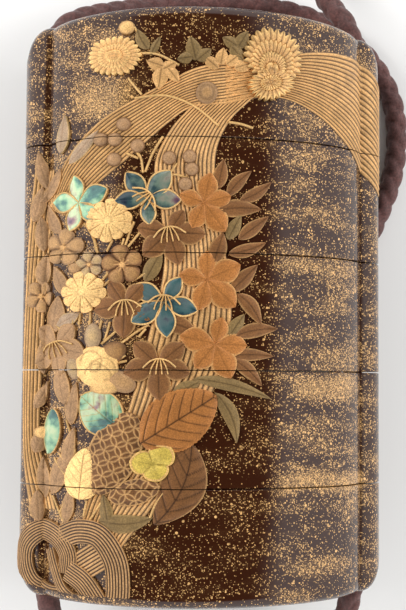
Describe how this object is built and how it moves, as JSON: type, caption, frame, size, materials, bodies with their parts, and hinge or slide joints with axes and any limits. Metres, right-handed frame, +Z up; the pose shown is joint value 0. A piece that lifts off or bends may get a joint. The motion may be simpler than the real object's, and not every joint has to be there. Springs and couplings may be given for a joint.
{
  "type": "inro case",
  "caption": "Lens-section lacquered case of a lid and nested compartments with cord runners, raised gold flowers and shell inlay, lying on its silk cord.",
  "frame": {"origin": "on the floor below the middle of the lens-section case as it lies on its back; the cord isn't counted", "axes": "+X across the case to its right, +Y from its bottom case to its lid, +Z up through its decorated front"},
  "size_m": [0.0627, 0.1574, 0.0274],
  "materials": {
    "gold_flecked_lacquer": "polished black-brown lacquer over a wood core, sprinkled with gold flakes in drifting bands",
    "gold_relief": "raised lacquer dusted with gold, satin, with rubbed edges",
    "bronze_relief": "raised lacquer dusted with darker gold and pewter-grey powders, satin",
    "shell_inlay": "polished iridescent shell in blue, green and violet, rimmed in gold",
    "silk_cord": "dark maroon-brown braided silk, soft sheen"
  },
  "bodies": {
    "root": {"lid": "gold_flecked_lacquer", "case_1": "gold_flecked_lacquer", "case_2": "gold_flecked_lacquer", "case_3": "gold_flecked_lacquer", "case_4": "gold_flecked_lacquer", "cord_left_strand": "silk_cord", "cord_right_strand": "silk_cord", "cord_bottom_loop": "silk_cord", "cord_in_left_runner": "silk_cord", "cord_in_right_runner": "silk_cord", "cord_coil": "silk_cord", "knot_left": "silk_cord", "knot_right": "silk_cord"}
  },
  "joints": []
}
